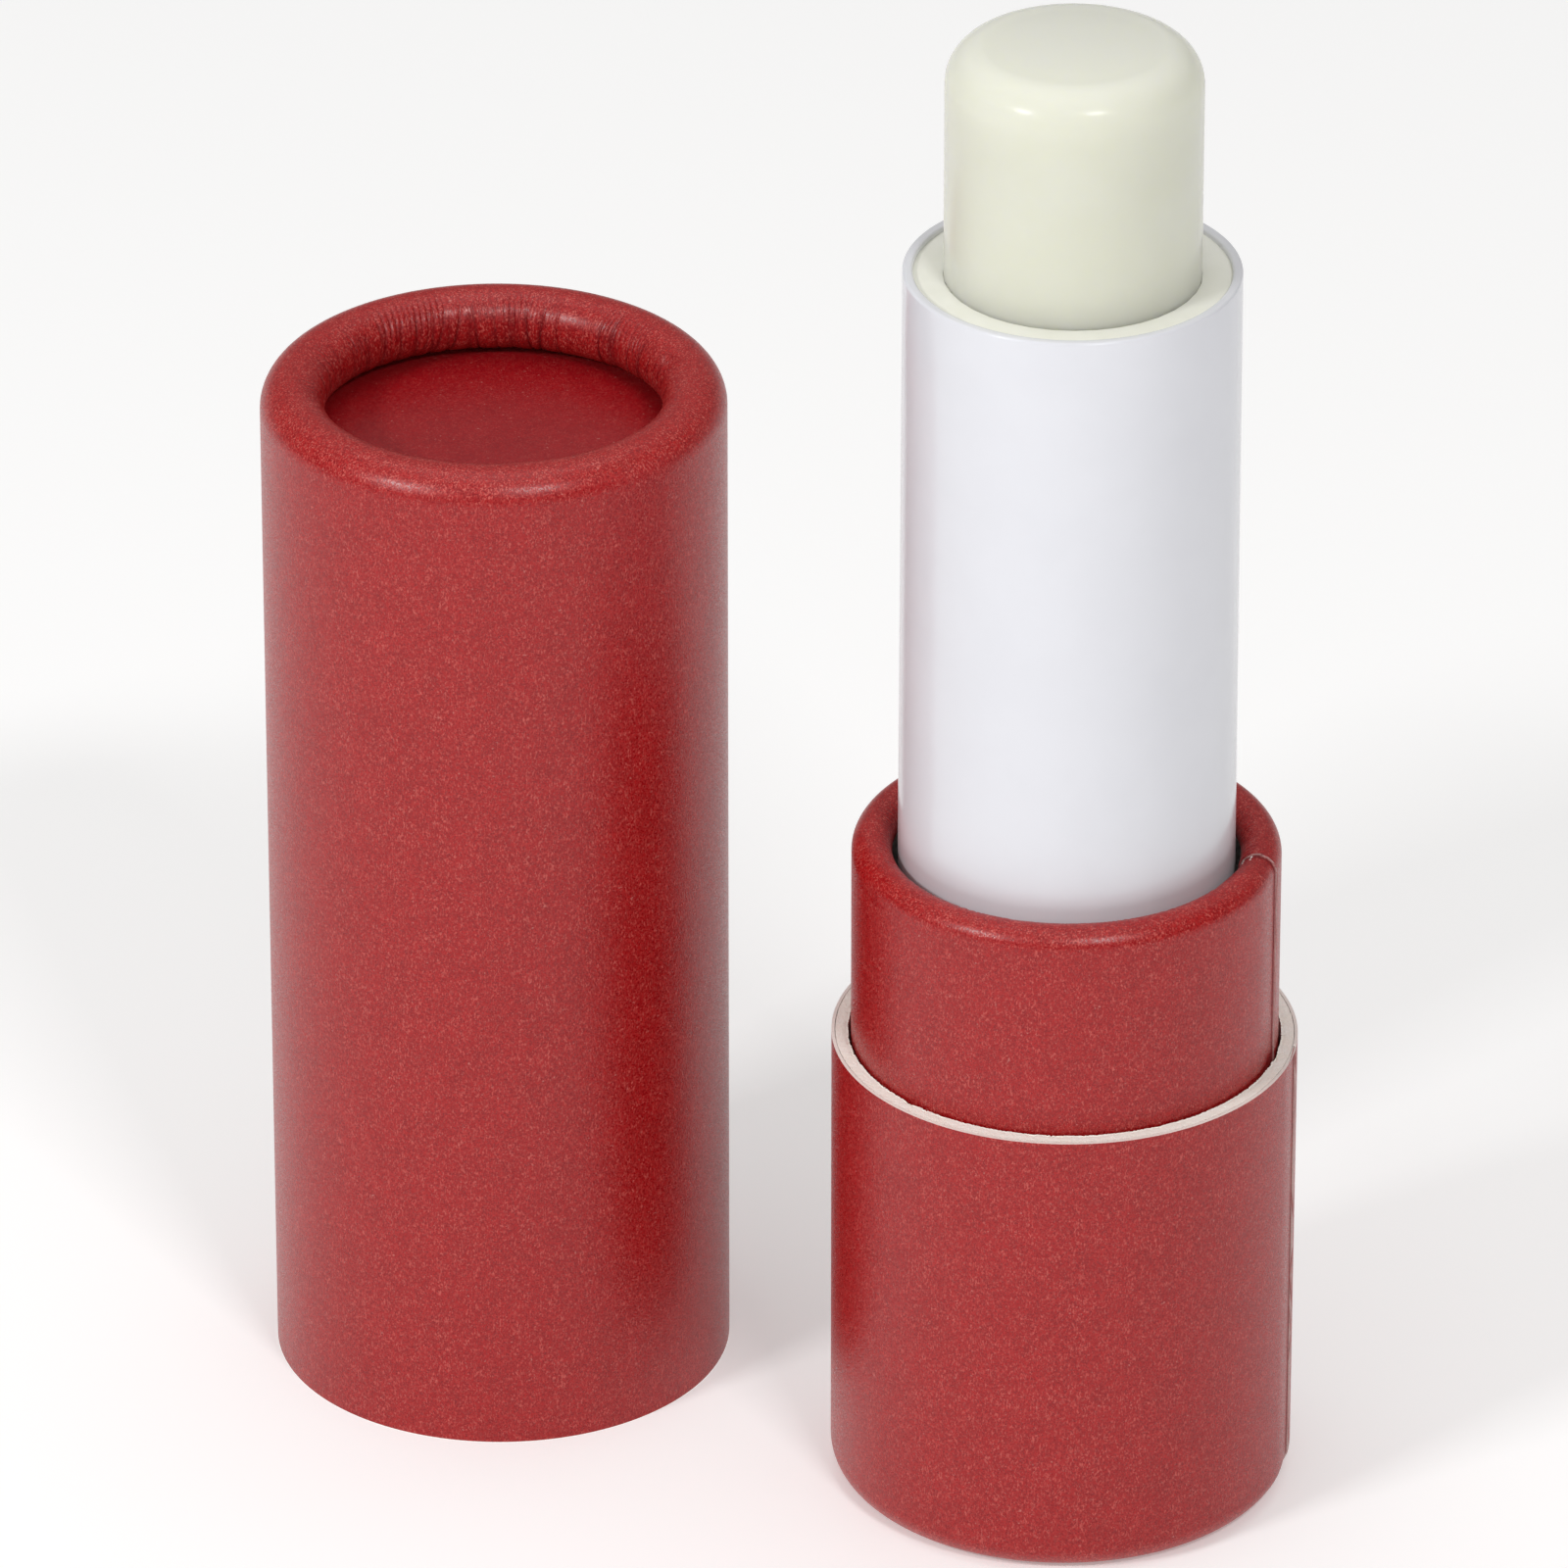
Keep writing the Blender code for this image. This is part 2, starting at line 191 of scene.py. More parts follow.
# Red paper: the values of a noise that each mark spans, and the mark's strength
PALE_SPAN = (0.35, 0.68)
PALE_STRENGTH = 0.6
DARK_SPAN = (0.34, 0.50)
DARK_STRENGTH = 0.85
FLECK_SPAN = (0.50, 0.66)
FLECK_STRENGTH = 0.72
PATCH_SPAN = (0.36, 0.64)
PATCH_STRENGTHS = (0.4, 1.1)
SPECK_SPAN = (0.73, 0.79)
SPECK_STRENGTH = 0.35
# How far the painted shade in creases and at seams darkens the paper.
CREASE_SHADE_STRENGTH = 0.75
GRAIN_SHARE = 1.0
DISC_GRAIN_SHARE = 0.25
# The grain is stronger on the roll: partly the paper's grain, partly a painted sheen that makes the roll
# paler.
ROLL_GRAIN_AND_SHEEN_SHARE = 1.6

# Red paper: roughness and relief, on its face and where it is burnished
FACE_ROUGHNESS = 0.26
ROLL_ROUGHNESS = 0.29
GRAIN_ROUGHNESS = 0.16
GRAIN_ROUGHNESS_SPAN = (0.35, 0.65)
ROLL_RELIEF_SHARE = 0.12
FINE_RELIEF = (0.00003, 0.6)
GRAIN_RELIEF = (0.00004, 0.25)

# Two tones blend over the values that a noise mostly has
NOISE_SPAN = (0.3, 0.7)

# Board: tones, noises as for paper, and relief as depth and strength
BOARD_CREAM = ((0.96, 0.93, 0.85), (0.98, 0.96, 0.90))
BOARD_PATCH_NOISE = (1500, 2.0, 0.5)
FUZZ_TONE = (0.88, 0.84, 0.77)
FUZZ_NOISE = (7000, 3.0, 0.6)
FUZZ_SPAN = (0.55, 0.8)
FUZZ_STRENGTH = 0.4
FUZZ_RELIEF = (0.00008, 0.6)

# White and natural plastic, in the same terms
WHITE = ((0.745, 0.75, 0.795), (0.76, 0.765, 0.81))
WHITE_PATCH_NOISE = (260, 2.0, 0.5)
WHITE_GLOSS_NOISE = (3000, 2.0, 0.5)
WHITE_ROUGHNESS = (0.16, 0.22)
WHITE_WAVE_NOISE = (700, 1.0, 0.4)
NATURAL = ((0.87, 0.87, 0.785), (0.90, 0.90, 0.825))
NATURAL_PATCH_NOISE = (600, 2.0, 0.5)
NATURAL_WAVE_NOISE = (2500, 2.0, 0.5)
PLASTIC_RELIEF = (0.00001, 0.3)

# Balm, in the same terms; the spans are heights
BALM_TONES = ((0.705, 0.71, 0.61), (0.72, 0.725, 0.635))
# The lower tone is yellower, and also lighter as painted light over the shade at the balm's foot.
BALM_LOWER_YELLOW_AND_LIT_TONE = (0.765, 0.77, 0.635)
BALM_LOWER_YELLOW_AND_LIT_SPAN = (0.054, 0.069)
# The crown tone is painted light: the top of the balm is lighter, as if lit more from above.
BALM_CROWN_LIT_TONE = (0.77, 0.775, 0.69)
BALM_CROWN_LIT_SPAN = (0.0722, 0.0735)
BALM_CLOUD_NOISE = (300, 3.0, 0.5)
BALM_WAVE_NOISE = (500, 2.0, 0.5)
BALM_RELIEF = (0.00002, 0.4)

# Studio light, with the soft boxes as name, direction, width, height and power
ROOM_LIGHT = 0.12
ROOM_COLOUR = (1.0, 0.99, 0.975, 1.0)
BACKDROP_START = (-0.1, 0.5)
BACKDROP_RISE = (0.45, 0.85)
BACKDROP_LIGHT = (0.12, 0.55)
FILL_TOWARDS = (-0.25, -0.55, 0.78)
FILL_REACH = (0.3, 0.95)
FILL_LIGHT = 0.37
LIGHT_DISTANCE = 0.6
LIGHT_TARGET = (0.0, 0.0, 0.04)
SOFT_BOXES = (
    ("left_box", (-0.63, -0.53, 0.56), 0.12, 0.06, 1.16),
    ("front_box", (0.272, -0.661, 0.699), 0.12, 0.05, 0.95),
    ("top_box", (0.0, 0.05, 1.0), 0.45, 0.45, 0.6),
)

# Floor
FLOOR_REACH = 60.0
FLOOR_BELOW = 0.00002
FLOOR_TONE = (0.84, 0.84, 0.84, 1.0)
FLOOR_ROUGHNESS = 0.9
FLOOR_GLOW = 0.27

# Fineness
CAP_AROUND = 1440
AROUND = 960
BOARD_AROUND = 720
TUBE_AROUND = 192
CURL_ROWS = 36
BOARD_CURL_ROWS = 18
INNER_CURL_ROWS = 10
WALL_ROWS = 14
CUT_ROWS = 8
DISC_ROWS = 16
RIM_ROWS = 5
SHELL_ROWS = 8
SHOULDER_ROWS = 20
CROWN_ROWS = 8
BALM_ROWS = 24
SHARP_ANGLE = math.radians(40)
SHORTEST = 1e-12
FULL_TURN = 2 * math.pi


def place_of(node):
    """The x and y of a turned node's axis, its radius, and its lowest and highest z."""
    low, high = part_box(node)
    centre = ((low.x + high.x) / 2, (low.y + high.y) / 2)
    return centre, (high.x - low.x) / 2, low.z, high.z


# Outlines: lists of (radius, height, fold), where fold is how deeply a row is pleated

def arc(radius, centre_r, centre_z, start, end, steps):
    """Points of an arc with the angle of each, measured from outwards to upwards."""
    angles = np.linspace(start, end, steps + 1)
    return [(centre_r + radius * math.cos(a), centre_z + radius * math.sin(a), a) for a in angles]


def plain(points):
    """The points of an arc as rows without pleats."""
    return [(r, z, 0.0) for r, z, _ in points]


def smooth_step(value, start, end):
    """0 before start and 1 past end, with soft ends between them."""
    t = np.clip((value - start) / (end - start), 0.0, 1.0)
    return t * t * (3 - 2 * t)


def angle_past(place, angles):
    """How far angles lie past a place round the circle, within half a turn either way."""
    return (angles - place + math.pi) % FULL_TURN - math.pi


def line(start, end, count):
    """Points between two points, both left out."""
    return [
        (start[0] + (end[0] - start[0]) * i / count, start[1] + (end[1] - start[1]) * i / count, 0.0)
        for i in range(1, count)
    ]


def rolled_outline(outside, curl, inset, wall, length):
    """A layer of a tube with its cut end at 0 and its upper end, at length, rolled in and under."""
    roll_r = outside - curl
    roll_z = length - curl
    outer = curl - inset
    inner = outer - wall
    rows = []
    for r, z, angle in arc(outer, roll_r, roll_z, ROLL_END, 0.0, CURL_ROWS):
        rows.append((r, z, float(smooth_step(angle, FOLD_START, FOLD_FULL))))
    rows += line((roll_r + outer, roll_z), (roll_r + outer, 0.0), WALL_ROWS)
    rows += [(roll_r + outer, DYED_EDGE, 0.0), (roll_r + outer, 0.0, 0.0), (roll_r + inner, 0.0, 0.0)]
    rows += plain(arc(inner, roll_r, roll_z, 0.0, ROLL_END, INNER_CURL_ROWS))
    return rows


def raised(rows, height):
    """The rows moved up."""
    return [(r, z + height, fold) for r, z, fold in rows]


def upside_down(rows, height):
    """The rows of an outline of this height, turned over."""
    return [(r, height - z, fold) for r, z, fold in reversed(rows)]


# Meshes

def waves(rng, angles, lowest, highest, count):
    """A smooth random wave round a full turn, about -1 to 1."""
    total = np.zeros_like(angles)
    for _ in range(count):
        pitch = int(rng.integers(lowest, highest + 1))
        total += np.sin(pitch * angles + rng.uniform(0, FULL_TURN))
    return total / math.sqrt(count)


def random_waves(rng, count, pitches, shares=None):
    """Waves as lists of turns a circle, phase and, where shares are given, share."""
    made = []
    for _ in range(count):
        wave = [int(rng.integers(*pitches)), rng.uniform(0, FULL_TURN)]
        if shares:
            wave.append(rng.uniform(*shares))
        made.append(wave)
    return made


def pleats(seed, creases, smooth_patches):
    """The depth of the folds, by angle and by distance along the paper, from 0 to about 1."""
    rng = np.random.default_rng(seed)
    beats = random_waves(rng, *BEATS)
    swells = random_waves(rng, *SWELLS)
    leans = random_waves(rng, *LEANS)
    drifts = random_waves(rng, *DRIFTS)
    places = [math.radians(c) for c in creases]
    places += list(rng.uniform(0, FULL_TURN, CREASE_COUNT))
    marks = []
    for place in places:
        tilt = rng.normal(0.0, CREASE_LEAN)
        deep = rng.uniform(*CREASE_DEPTH_SHARES)
        width = rng.uniform(*CREASE_WIDTH_SHARES) * CREASE_WIDTH
        marks.append((place, tilt, deep, width))

    def patches(angles):
        share = 1.0
        for middle, reach in smooth_patches:
            apart = np.abs(angle_past(math.radians(middle), angles))
            left = smooth_step(apart, PATCH_CORE_SHARE * math.radians(reach), math.radians(reach))
            share = share * (PATCH_LEAST_SHARE + (1 - PATCH_LEAST_SHARE) * left)
        return share

    def depth(angles, along, r):
        lean = PLEAT_LEAN * sum(np.sin(k * angles + p) for k, p in leans) / len(leans)
        leaned = angles + lean * along
        beat = sum(a * np.sin(k * leaned + p) for k, p, a in beats)
        phase = PLEAT_COUNT * leaned / FULL_TURN + beat
        valley = 1 - np.abs(np.sin(math.pi * phase)) ** PLEAT_SHARPNESS
        swell = PLEAT_MIDDLE_SHARE + PLEAT_SWELL_SHARE * sum(np.sin(k * leaned + p) for k, p in swells)
        swell = np.clip(swell, PLEAT_LEAST_SHARE, 1.0) * patches(angles)
        fade = 1 - PLEAT_FADE_SHARE * smooth_step(along, *PLEAT_FADE)
        total = swell * valley * fade * PLEAT_DEPTH / FOLD_DEPTH
        drift = sum(a * np.sin(k * angles + p) for k, p, a in drifts)
        phase = LUMP_COUNT * angles / FULL_TURN + drift
        hollow = (1 - np.abs(np.sin(math.pi * phase))) ** 2
        lump = hollow * smooth_step(along, *LUMP_START) * patches(angles) * LUMP_DEPTH / FOLD_DEPTH
        total = total + lump
        low = smooth_step(along, *CREASE_START)
        for place, tilt, deep, width in marks:
            apart = angle_past(place, angles + tilt * along)
            total = np.maximum(total, deep * low * np.exp(-np.abs(apart * r) / width))
        return total

    return depth


def columns(count, seam=None):
    """Angles round a full turn, closer together at a seam."""
    even = np.arange(count) * FULL_TURN / count
    if seam is None:
        return even
    apart = np.abs(angle_past(seam, even))
    fine = (seam + np.linspace(-SEAM_ZONE, SEAM_ZONE, SEAM_COLUMNS)) % FULL_TURN
    return np.sort(np.concatenate([even[apart > SEAM_ZONE * SEAM_ZONE_SHARE], fine]))


def turned(name, rows, node, angles, offset=None, closed=True, marks=()):
    """Turns an outline round a node's axis. offset gives each row's move along its normal, by angle.

    marks holds functions, by name, that give a point attribute from the same values as offset.
    The UV map runs round the piece in u and down its outline in v, both in metres.
    """
    centre, radius, _, _ = place_of(node)
    outline = np.array(rows, float)
    r, z, fold = outline.T
    if closed:
        ahead = np.roll(outline[:, :2], -1, axis=0)
        behind = np.roll(outline[:, :2], 1, axis=0)
    else:
        ahead = np.vstack([outline[1:, :2], outline[-1:, :2]])
        behind = np.vstack([outline[:1, :2], outline[:-1, :2]])
    along = ahead - behind
    along /= np.maximum(np.linalg.norm(along, axis=1), SHORTEST)[:, None]
    normal_r, normal_z = -along[:, 1], along[:, 0]
    step = np.hypot(np.diff(r, append=r[0]), np.diff(z, append=z[0]))
    down = np.concatenate([[0.0], np.cumsum(step)])
    steps = len(angles)
    ends = np.append(angles, angles[0] + FULL_TURN)
    values = (angles[None, :], down[:-1, None], r[:, None], z[:, None], fold[:, None])
    move = np.zeros((len(r), steps))
    if offset is not None:
        move = offset(*values)
    all_r = r[:, None] + normal_r[:, None] * move
    all_z = z[:, None] + normal_z[:, None] * move
    x = centre[0] + all_r * np.cos(angles)
    y = centre[1] + all_r * np.sin(angles)
    points = np.stack([x, y, all_z], axis=2)
    vertices = []
    index = np.zeros((len(r), steps), int)
    for i in range(len(r)):
        if r[i] == 0.0:
            index[i] = len(vertices)
            vertices.append(tuple(points[i, 0]))
        else:
            index[i] = len(vertices) + np.arange(steps)
            vertices.extend(map(tuple, points[i]))
    faces = []
    corners = []
    last = len(r) if closed else len(r) - 1
    for i in range(last):
        k = (i + 1) % len(r)
        for j in range(steps):
            n = (j + 1) % steps
            quad = [index[i, j], index[k, j], index[k, n], index[i, n]]
            u = [j, j, j + 1, j + 1]
            v = [down[i], down[i + 1], down[i + 1], down[i]]
            kept = [c for c in range(4) if quad[c] != quad[c - 1]]
            faces.append([int(quad[c]) for c in kept])
            corners += [(ends[u[c]] * radius, v[c]) for c in kept]
    mesh = bpy.data.meshes.new(name)
    mesh.from_pydata(vertices, [], faces)
    layer = mesh.uv_layers.new(name="round_and_down")
    layer.data.foreach_set("uv", np.array(corners, np.float32).ravel())
    mesh.shade_smooth()
    mesh.set_sharp_from_angle(angle=SHARP_ANGLE)
    made = bpy.data.objects.new(name, mesh)
    bpy.context.scene.collection.objects.link(made)
    for label, mark in dict(marks).items():
        shares = np.zeros(len(vertices), np.float32)
        shares[index.ravel()] = (mark(*values) * np.ones((len(r), steps))).ravel()
        mesh.attributes.new(label, "FLOAT", "POINT").data.foreach_set("value", shares)
    return made


def settle(piece, material, body, slot, *nodes):
    """Gives a piece its material and its body, and hides the nodes that it replaces; slot is not used.
    """
    piece.data.materials.append(material)
    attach(piece, body)
    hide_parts(*nodes)
    return piece


# Materials

class Shader:
    """A material's node tree, with a short way to add nodes and link them."""

    def __init__(self, name):
        self.material = bpy.data.materials.new(name)
        self.material.use_nodes = True
        self.tree = self.material.node_tree
        self.out = self.tree.nodes["Principled BSDF"]

    def add(self, kind, inputs=(), **settings):
        node = self.tree.nodes.new("ShaderNode" + kind)
        for key, value in settings.items():
            setattr(node, key, value)
        for key, value in dict(inputs).items():
            self.put(node.inputs[key], value)
        return node

    def put(self, socket, value):
        if isinstance(value, bpy.types.NodeSocket):
            self.tree.links.new(value, socket)
        elif hasattr(value, "__len__") and len(value) == 3 and socket.type == "RGBA":
            socket.default_value = (*value, 1.0)
        else:
            socket.default_value = value

    def set(self, **values):
        for key, value in values.items():
            self.put(self.out.inputs[key.replace("_", " ")], value)

    def place(self):
        return self.add("TexCoord").outputs["Object"]

    def place_along(self, share):
        """Places for a texture that is drawn out along the axis of the part."""
        place = self.add("VectorMath", operation="MULTIPLY")
        self.put(place.inputs[0], self.place())
        place.inputs[1].default_value = (1.0, 1.0, share)
        return place.outputs[0]

    def noise(self, scale, detail, roughness, vector=None, distortion=0.0):
        inputs = {"Scale": scale, "Detail": detail, "Roughness": roughness, "Distortion": distortion}
        inputs["Vector"] = vector if vector is not None else self.place()
        return self.add("TexNoise", inputs).outputs["Fac"]

    def spread(self, value, low, high, out_low=0.0, out_high=1.0):
        """Stretches the values from low to high over out_low to out_high, with soft ends."""
        inputs = {"Value": value, "From Min": low, "From Max": high}
        inputs.update({"To Min": out_low, "To Max": out_high})
        return self.add("MapRange", inputs, interpolation_type="SMOOTHSTEP").outputs["Result"]

    def math(self, operation, a, b):
        node = self.add("Math", operation=operation)
        self.put(node.inputs[0], a)
        self.put(node.inputs[1], b)
        return node.outputs[0]

    def mix(self, share, a, b):
        node = self.add("Mix", data_type="RGBA")
        self.put(node.inputs["Factor"], share)
        self.put(node.inputs[6], a)
        self.put(node.inputs[7], b)
        return node.outputs[2]

    def bump(self, height, distance, strength, normal=None):
        node = self.add("Bump", {"Height": height, "Distance": distance, "Strength": strength})
        if normal is not None:
            self.put(node.inputs["Normal"], normal)
        return node.outputs["Normal"]


def red_paper(name, grain_share, low, high):
    """Dyed wrapping paper with a fine grain, burnished where it is rolled, and a pale cut edge. Its
    colour also holds painted shade in creases and seams and a painted sheen on the roll.
    """
    s = Shader(name)
    fine = s.noise(*FINE_NOISE)
    grain = s.noise(*GRAIN_NOISE)
    cloud = s.noise(*CLOUD_NOISE)
    patch = s.noise(*PATCH_NOISE)
    fibre = s.noise(*FIBRE_NOISE, s.place_along(FIBRE_SHARE_ALONG), FIBRE_TWIST)
    speck = s.noise(*SPECK_NOISE)
    polish_and_sheen = s.add("Attribute", attribute_name="polish_and_sheen").outputs["Fac"]
    crease_and_shade = s.add("Attribute", attribute_name="crease_and_shade").outputs["Fac"]
    edge = s.add("Attribute", attribute_name="cut_edge").outputs["Fac"]

    def on_roll(face, roll):
        return s.spread(polish_and_sheen, 0.0, 1.0, face, roll)

    # On the roll the grain share rises: partly grain, partly a painted sheen that makes the roll paler.
    share = on_roll(grain_share, ROLL_GRAIN_AND_SHEEN_SHARE * grain_share)
    red = s.mix(s.spread(cloud, *NOISE_SPAN), low, high)
    pale = s.math("MULTIPLY", s.spread(grain, *PALE_SPAN, 0.0, PALE_STRENGTH), share)
    red = s.mix(pale, red, PALE_RED)
    dark = s.math("MULTIPLY", s.spread(fine, *DARK_SPAN, DARK_STRENGTH, 0.0), share)
    red = s.mix(dark, red, DARK_RED)
    fleck = s.math("MULTIPLY", s.spread(fibre, *FLECK_SPAN, 0.0, FLECK_STRENGTH), share)
    fleck = s.math("MULTIPLY", fleck, s.spread(patch, *PATCH_SPAN, *PATCH_STRENGTHS))
    red = s.mix(fleck, red, FLECK_RED)
    red = s.mix(s.spread(speck, *SPECK_SPAN, 0.0, SPECK_STRENGTH), red, SPECK_PINK)
    # Painted shade: pleat valleys and the foot of each seam's step are darkened.
    red = s.mix(s.math("MULTIPLY", crease_and_shade, CREASE_SHADE_STRENGTH), red, CREASE_SHADE_RED)
    red = s.mix(edge, red, CUT_PAPER)
    rough = s.spread(fine, *GRAIN_ROUGHNESS_SPAN, 0.0, GRAIN_ROUGHNESS)
    rough = s.math("ADD", rough, on_roll(FACE_ROUGHNESS, ROLL_ROUGHNESS))
    relief = on_roll(1.0, ROLL_RELIEF_SHARE)
    normal = s.bump(s.math("MULTIPLY", fine, relief), *FINE_RELIEF)
    normal = s.bump(s.math("MULTIPLY", grain, relief), *GRAIN_RELIEF, normal)
    s.set(Base_Color=red, Roughness=rough, Normal=normal, Specular_IOR_Level=0.45)
    return s.material


def cut_board(name):
    """Cream board, cut across its layers."""
    s = Shader(name)
    fuzz = s.noise(*FUZZ_NOISE)
    colour = s.mix(s.spread(s.noise(*BOARD_PATCH_NOISE), *NOISE_SPAN), *BOARD_CREAM)
    colour = s.mix(s.spread(fuzz, *FUZZ_SPAN, 0.0, FUZZ_STRENGTH), colour, FUZZ_TONE)
    s.set(Base_Color=colour, Roughness=0.85, Normal=s.bump(fuzz, *FUZZ_RELIEF))
    return s.material


def white_plastic(name):
    """Glossy white moulded plastic, faintly blue."""
    s = Shader(name)
    colour = s.mix(s.spread(s.noise(*WHITE_PATCH_NOISE), *NOISE_SPAN), *WHITE)
    rough = s.spread(s.noise(*WHITE_GLOSS_NOISE), *NOISE_SPAN, *WHITE_ROUGHNESS)
    normal = s.bump(s.noise(*WHITE_WAVE_NOISE), *PLASTIC_RELIEF)
    s.set(Base_Color=colour, Roughness=rough, Normal=normal)
    return s.material


def natural_plastic(name):
    """Plastic without pigment: creamy and slightly translucent."""
    s = Shader(name)
    colour = s.mix(s.spread(s.noise(*NATURAL_PATCH_NOISE), *NOISE_SPAN), *NATURAL)
    normal = s.bump(s.noise(*NATURAL_WAVE_NOISE), *PLASTIC_RELIEF)
    s.set(Base_Color=colour, Roughness=0.35, Normal=normal)
    s.set(Subsurface_Weight=0.2, Subsurface_Scale=0.0008, Subsurface_Radius=(1.0, 1.0, 0.9))
    return s.material


def balm_wax(name):
    """Translucent balm, yellower lower down, and lighter low down and on the crown as painted light."""
    s = Shader(name)
    height = s.add("SeparateXYZ", {"Vector": s.place()}).outputs["Z"]
    colour = s.mix(s.spread(s.noise(*BALM_CLOUD_NOISE), *NOISE_SPAN), *BALM_TONES)
    # Painted light: the lower balm is lighter as well as yellower, to lift the shade at its foot.
    colour = s.mix(s.spread(height, *BALM_LOWER_YELLOW_AND_LIT_SPAN), BALM_LOWER_YELLOW_AND_LIT_TONE, colour)
    # Painted light: the crown is lighter, as if lit more from above.
    colour = s.mix(s.spread(height, *BALM_CROWN_LIT_SPAN), colour, BALM_CROWN_LIT_TONE)
    normal = s.bump(s.noise(*BALM_WAVE_NOISE), *BALM_RELIEF)
    s.set(Base_Color=colour, Roughness=0.22, Normal=normal, Specular_IOR_Level=0.2)
    s.set(Subsurface_Weight=1.0, Subsurface_Scale=0.0035, Subsurface_Radius=(1.0, 1.0, 0.8))
    return s.material


# Pieces

def past_seam(angles, down, r, seam, bend):
    """How far round the piece a point lies past its slightly uneven seam."""
    jag = SEAM_JAG * sum(np.sin(pitch * down + phase) for pitch, phase in zip(SEAM_JAG_PITCHES, bend))
    return angle_past(seam, angles) * r + jag


def rolled_paper(
    name, node, body, curl, length, low, flipped, seed, seam, pale, on_roll, around, creases=(),
    smooth_patches=()
):
    """A layer of red paper round a tube, pleated where it is rolled in, with a lapped seam.

    pale is how plainly the seam's cut edge shows, and on_roll how much of the seam the roll keeps.
    """
    _, outside, _, _ = place_of(node)
    rows = rolled_outline(outside, curl, 0.0, WRAP, length)
    crest = (ROLL_END - math.pi / 2) * curl
    shown = len(rows) - INNER_CURL_ROWS - 2
    is_shown = (np.arange(len(rows)) < shown).astype(float)[:, None]
    is_cut = np.array([1.0 if z == 0.0 else 0.0 for _, z, _ in rows])[:, None]
    folds = pleats(seed, creases, smooth_patches)
    bend = np.random.default_rng(seed + 1).uniform(0, FULL_TURN, len(SEAM_JAG_PITCHES))
    seam = math.radians(seam)
    if flipped:
        is_shown = is_shown[::-1]
        is_cut = is_cut[::-1]
        rows = upside_down(rows, length)
    else:
        rows = raised(rows, low)

    def inwards(down):
        total = down.max()
        return crest - (total - down if flipped else down)

    # The fold depth, which the shade below also paints into the colour as painted shade.
    def crease_and_shade(angles, down, r, z, fold):
        past = past_seam(angles, down, r, seam, bend)
        at_seam = SEAM_CREASE * np.exp(-np.abs(past) / CREASE_WIDTH)
        share = np.maximum(folds(angles, inwards(down), r), at_seam)
        return np.clip(share, 0, 1) * fold * is_shown

    # Painted shade: the creases and a painted shadow line at the foot of the seam's step, kept as a
    # point attribute that darkens the paper.
    def shade(angles, down, r, z, fold):
        past = past_seam(angles, down, r, seam, bend)
        # The painted shadow line at the foot of the seam's step.
        line_share = np.exp(-((past / SEAM_SHADOW_WIDTH + 1) ** 2)) * SEAM_SHADE * lapped(r)
        return np.maximum(crease_and_shade(angles, down, r, z, fold), line_share)

    # The burnished roll, where the grain also carries a painted sheen.
    def polish_and_sheen(angles, down, r, z, fold):
        return smooth_step(outside - r, 0.0, BURNISH_START) * is_shown

    def lapped(r):
        """How much of the seam's step shows: all of it on the wall, and on_roll of it on the roll."""
        return (1 - (1 - on_roll) * smooth_step(outside - r, 0.0, BURNISH_START)) * is_shown

    def edge(angles, down, r, z, fold):
        past = past_seam(angles, down, r, seam, bend)
        line_share = np.exp(-((past / SEAM_PALE) ** 2)) * pale * lapped(r)
        return np.maximum(line_share, is_cut)

    def offset(angles, down, r, z, fold):
        past = past_seam(angles, down, r, seam, bend)
        before = smooth_step(-past, 0.0, SEAM_EDGE)
        lap = LAP_STEP * before * (1 - smooth_step(-past, SEAM_EDGE, LAP_REACH))
        groove = LAP_GROOVE * np.exp(-(((past + SEAM_EDGE) / SEAM_EDGE) ** 2))
        total = FOLD_DEPTH * crease_and_shade(angles, down, r, z, fold) + (lap + groove) * lapped(r)
        return -np.minimum(total, WRAP - DYED_EDGE)

    made = turned(
        name, rows, node, columns(around, seam), offset,
        marks={"crease_and_shade": shade, "cut_edge": edge, "polish_and_sheen": polish_and_sheen}
    )
    return settle(made, paper, body, "red_paper", node)


